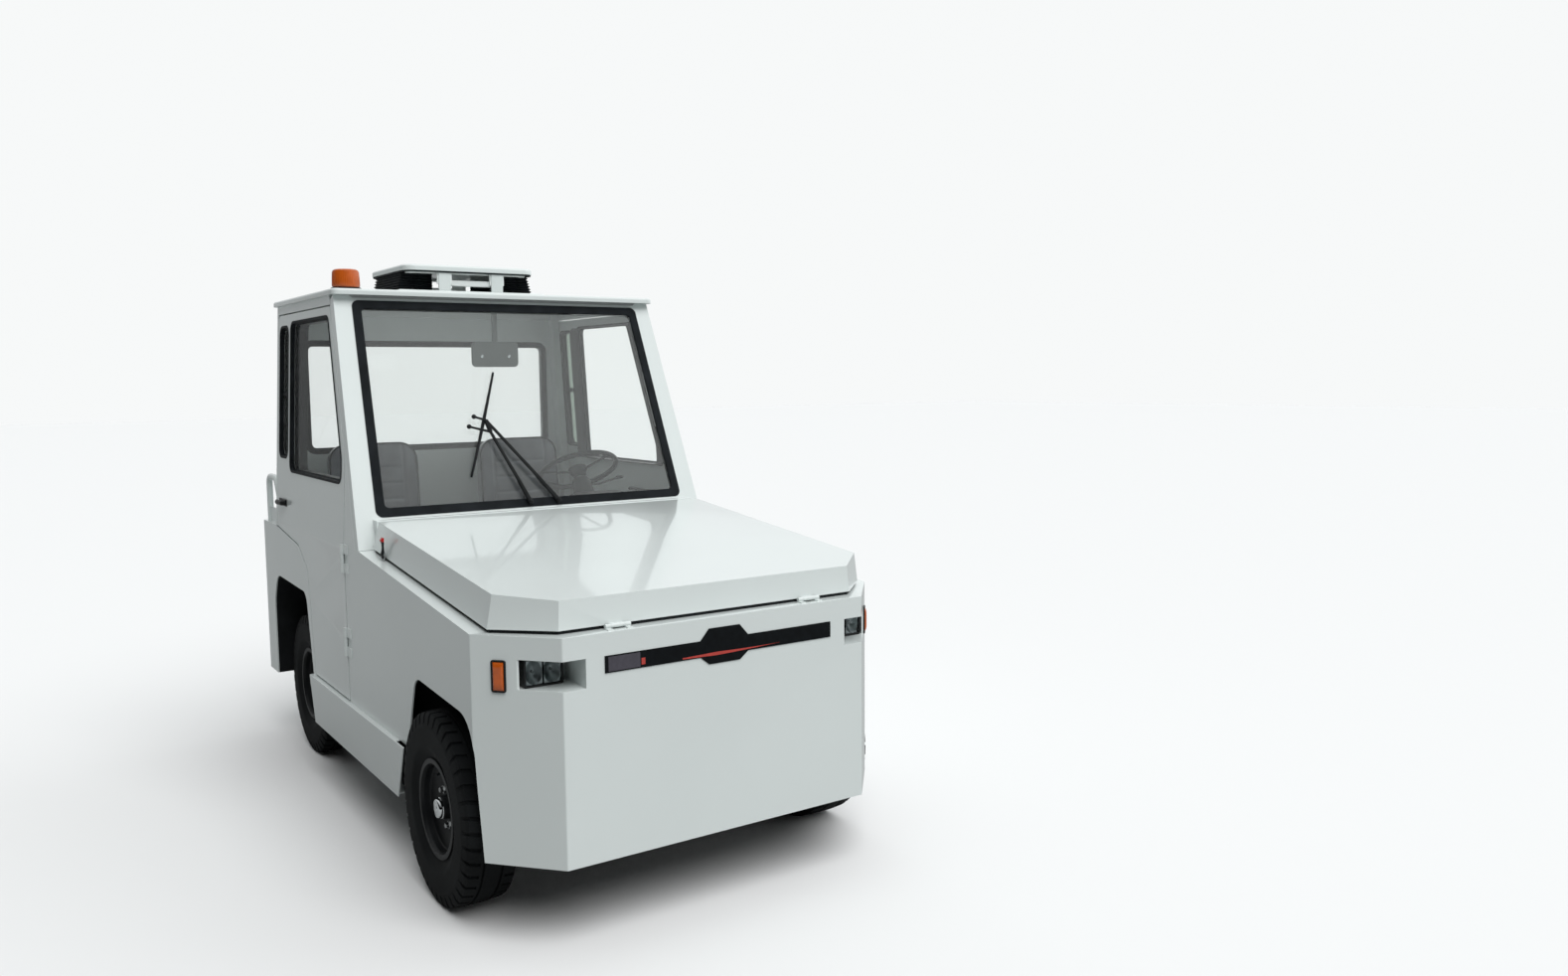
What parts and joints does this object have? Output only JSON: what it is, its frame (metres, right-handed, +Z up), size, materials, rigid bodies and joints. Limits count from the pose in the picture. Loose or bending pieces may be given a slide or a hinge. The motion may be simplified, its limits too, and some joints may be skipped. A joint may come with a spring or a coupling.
{
  "type": "airport baggage tug",
  "caption": "Electric baggage tug with a closed two-seat cab, chamfered nose, lift-up hood, side doors, steered front wheels and a rear tow hitch.",
  "frame": {"origin": "on the ground under the middle of the tug", "axes": "+X forward, +Y to the driver's left, +Z up"},
  "size_m": [3.306, 1.654, 2.355],
  "materials": {
    "white_paint": "glossy white paint",
    "black_paint": "satin black paint",
    "grey_paint": "matt grey paint",
    "battery_grey": "satin dark grey paint",
    "grey_plastic": "moulded grey plastic",
    "black_plastic": "moulded black plastic",
    "black_band": "glossy black film on plate",
    "black_rubber": "matt black rubber",
    "glass": "clear safety glass, slightly green",
    "lamp_glass": "clear lamp lens",
    "amber_plastic": "clear amber plastic",
    "red_plastic": "clear red plastic",
    "seat_vinyl": "black vinyl",
    "steel": "bright steel",
    "cast_iron": "black painted casting",
    "tyre": "tyre rubber"
  },
  "bodies": {
    "chassis": {"arch_liners": "black_plastic", "battery_pack": "battery_grey", "beacon": "amber_plastic", "cab_floor": "grey_paint", "cab_frame": "white_paint", "cab_glass": "glass", "chassis_frame": "black_paint", "dashboard": "grey_plastic", "driver_seat": "seat_vinyl", "front_axle": "black_paint", "front_band": "black_band", "hatch_bellows": "black_rubber", "hatch_frame": "white_paint", "hatch_lid": "white_paint", "headlamps": "lamp_glass", "hood_latches": "black_rubber", "interior_mirror": "grey_plastic", "marker_lamps": "amber_plastic", "nose_shell": "white_paint", "passenger_seat": "seat_vinyl", "rear_axle": "black_paint", "rear_body": "white_paint", "rear_wall": "white_paint", "roof_panel": "white_paint", "rubber_seals": "black_rubber", "sill_steps": "white_paint", "tail_lamps": "red_plastic", "tow_hitch": "black_paint", "wiper": "black_plastic"},
    "hood": {"hood": "white_paint"},
    "door_left": {"door_left": "white_paint", "door_glass_left": "glass", "door_handle_left": "black_plastic"},
    "door_right": {"door_right": "white_paint", "door_glass_right": "glass", "door_handle_right": "black_plastic"},
    "knuckle_left": {"knuckle_left": "cast_iron"},
    "knuckle_right": {"knuckle_right": "cast_iron"},
    "tie_rod": {"tie_rod": "steel"},
    "steering_wheel": {"steering_wheel": "black_plastic"},
    "tow_pin": {"tow_pin": "steel"},
    "wheel_front_left": {"wheel_front_left": "black_paint", "tyre_front_left": "tyre"},
    "wheel_front_right": {"wheel_front_right": "black_paint", "tyre_front_right": "tyre"},
    "wheel_rear_left": {"wheel_rear_left": "black_paint", "tyre_rear_left": "tyre"},
    "wheel_rear_right": {"wheel_rear_right": "black_paint", "tyre_rear_right": "tyre"}
  },
  "joints": [
    {"name": "hood_hinge", "type": "hinge", "parent": "chassis", "child": "hood", "pos_m": [1.612, 0, 1.019], "axis": [0, 1, 0], "range_deg": [0, 50]},
    {"name": "door_left_hinge", "type": "hinge", "parent": "chassis", "child": "door_left", "pos_m": [-0.03, 0.808, 0.9], "axis": [0, 0, -1], "range_deg": [0, 75]},
    {"name": "door_right_hinge", "type": "hinge", "parent": "chassis", "child": "door_right", "pos_m": [-0.03, -0.808, 0.9], "axis": [0, 0, 1], "range_deg": [0, 75]},
    {"name": "steer_left", "type": "hinge", "parent": "chassis", "child": "knuckle_left", "pos_m": [1.06, 0.61, 0.338], "axis": [0, 0, 1], "range_deg": [-30, 30]},
    {"name": "steer_right", "type": "hinge", "parent": "chassis", "child": "knuckle_right", "pos_m": [1.06, -0.61, 0.338], "axis": [0, 0, 1], "range_deg": [-30, 30]},
    {"name": "tie_rod_end", "type": "hinge", "parent": "knuckle_left", "child": "tie_rod", "pos_m": [0.91, 0.61, 0.265], "axis": [0, 0, 1], "range_deg": [-30, 30]},
    {"name": "steering_wheel_turn", "type": "hinge", "parent": "chassis", "child": "steering_wheel", "pos_m": [-0.28, 0.38, 1.37], "axis": [-0.5, 0, 0.866], "range_deg": [-480, 480]},
    {"name": "tow_pin_lift", "type": "slide", "parent": "chassis", "child": "tow_pin", "axis": [0, 0, 1], "range_m": [0, 0.21]},
    {"name": "wheel_front_left_spin", "type": "hinge", "parent": "knuckle_left", "child": "wheel_front_left", "pos_m": [1.06, 0.732, 0.338], "axis": [0, 1, 0], "continuous": true},
    {"name": "wheel_front_right_spin", "type": "hinge", "parent": "knuckle_right", "child": "wheel_front_right", "pos_m": [1.06, -0.732, 0.338], "axis": [0, 1, 0], "continuous": true},
    {"name": "wheel_rear_left_spin", "type": "hinge", "parent": "chassis", "child": "wheel_rear_left", "pos_m": [-1.02, 0.645, 0.338], "axis": [0, 1, 0], "continuous": true},
    {"name": "wheel_rear_right_spin", "type": "hinge", "parent": "chassis", "child": "wheel_rear_right", "pos_m": [-1.02, -0.645, 0.338], "axis": [0, 1, 0], "continuous": true}
  ],
  "couplings": [
    {"joint": "steer_right", "follows": "steer_left", "ratio": 1},
    {"joint": "tie_rod_end", "follows": "steer_left", "ratio": -1},
    {"joint": "steering_wheel_turn", "follows": "steer_left", "ratio": 16}
  ]
}
